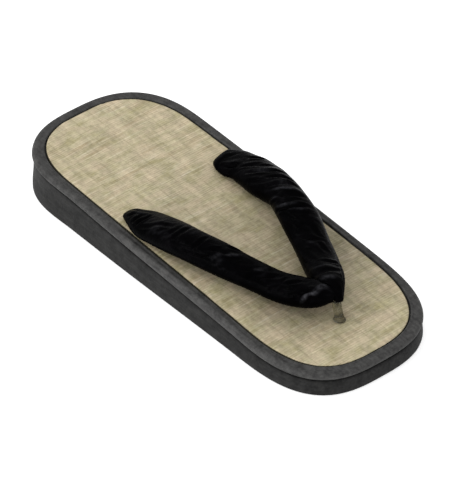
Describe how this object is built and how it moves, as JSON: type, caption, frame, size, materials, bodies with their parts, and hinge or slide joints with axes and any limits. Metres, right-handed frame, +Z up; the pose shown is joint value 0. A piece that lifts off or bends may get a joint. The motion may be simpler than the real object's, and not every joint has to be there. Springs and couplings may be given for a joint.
{
  "type": "zori sandal",
  "caption": "Flat-soled zori: wedge rubber sole with a raised rim round a woven rush footbed, a black padded V strap and a clear toe post.",
  "frame": {"origin": "on the ground, middle of the sole's bounding box", "axes": "+Z up, the toe points to -Y and the heel to +Y, +X runs across to the wearer's left"},
  "size_m": [0.1044, 0.27, 0.0412],
  "materials": {
    "rubber_sole": "matt foam rubber, fine speckle",
    "rubber_rim": "matt foam rubber with a soft rounded edge",
    "rush": "woven dry rush, slight sheen along the strands",
    "strap_cloth": "black pile cloth with a soft sheen, wrinkled over padding",
    "clear_plastic": "clear flexible plastic, glossy"
  },
  "bodies": {
    "root": {"outsole": "rubber_sole", "footbed": "rubber_rim", "straw_mat": "rush", "strap": "strap_cloth", "toe_post": "clear_plastic"}
  },
  "joints": []
}
